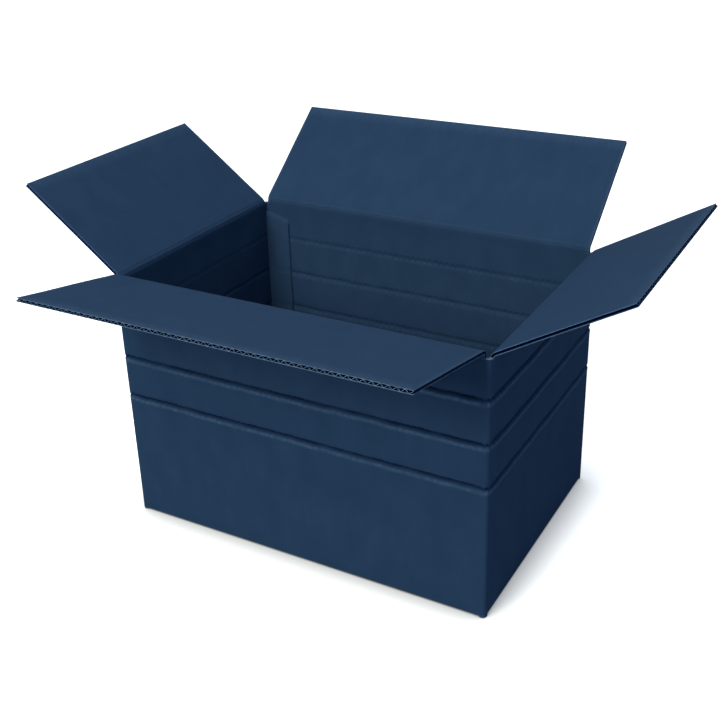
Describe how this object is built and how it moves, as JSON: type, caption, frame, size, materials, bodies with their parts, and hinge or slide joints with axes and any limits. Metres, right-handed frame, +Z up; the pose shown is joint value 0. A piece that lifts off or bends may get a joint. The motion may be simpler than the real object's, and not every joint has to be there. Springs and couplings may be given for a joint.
{
  "type": "open cardboard box",
  "caption": "Open rectangular cardboard box with hinged top flaps, depth score lines pressed round its walls and a folded, taped bottom.",
  "frame": {"origin": "middle of the underside, on the surface that the box stands on", "axes": "+X along the long walls, +Y from the front wall to the back wall, +Z up"},
  "size_m": [0.7223, 0.5865, 0.4129],
  "materials": {
    "board": "matte dark blue printed kraft liner",
    "fluted_board": "matte dark blue kraft liners with open flutes at the edges",
    "tape": "smooth packing tape"
  },
  "bodies": {
    "carton": {"carton_body": "board", "bottom_tape": "tape"},
    "front_flap": {"top_flap_front": "fluted_board"},
    "back_flap": {"top_flap_back": "fluted_board"},
    "left_flap": {"top_flap_left": "fluted_board"},
    "right_flap": {"top_flap_right": "fluted_board"}
  },
  "joints": [
    {"name": "front_flap_fold", "type": "hinge", "parent": "carton", "child": "front_flap", "pos_m": [0, -0.1566, 0.31455], "axis": [1, 0, 0], "range_deg": [-169, 96]},
    {"name": "back_flap_fold", "type": "hinge", "parent": "carton", "child": "back_flap", "pos_m": [0, 0.1566, 0.31455], "axis": [-1, 0, 0], "range_deg": [-142, 123]},
    {"name": "left_flap_fold", "type": "hinge", "parent": "carton", "child": "left_flap", "pos_m": [-0.2326, 0, 0.31025], "axis": [0, -1, 0], "range_deg": [-143, 122]},
    {"name": "right_flap_fold", "type": "hinge", "parent": "carton", "child": "right_flap", "pos_m": [0.2326, 0, 0.31025], "axis": [0, 1, 0], "range_deg": [-150, 115]}
  ]
}
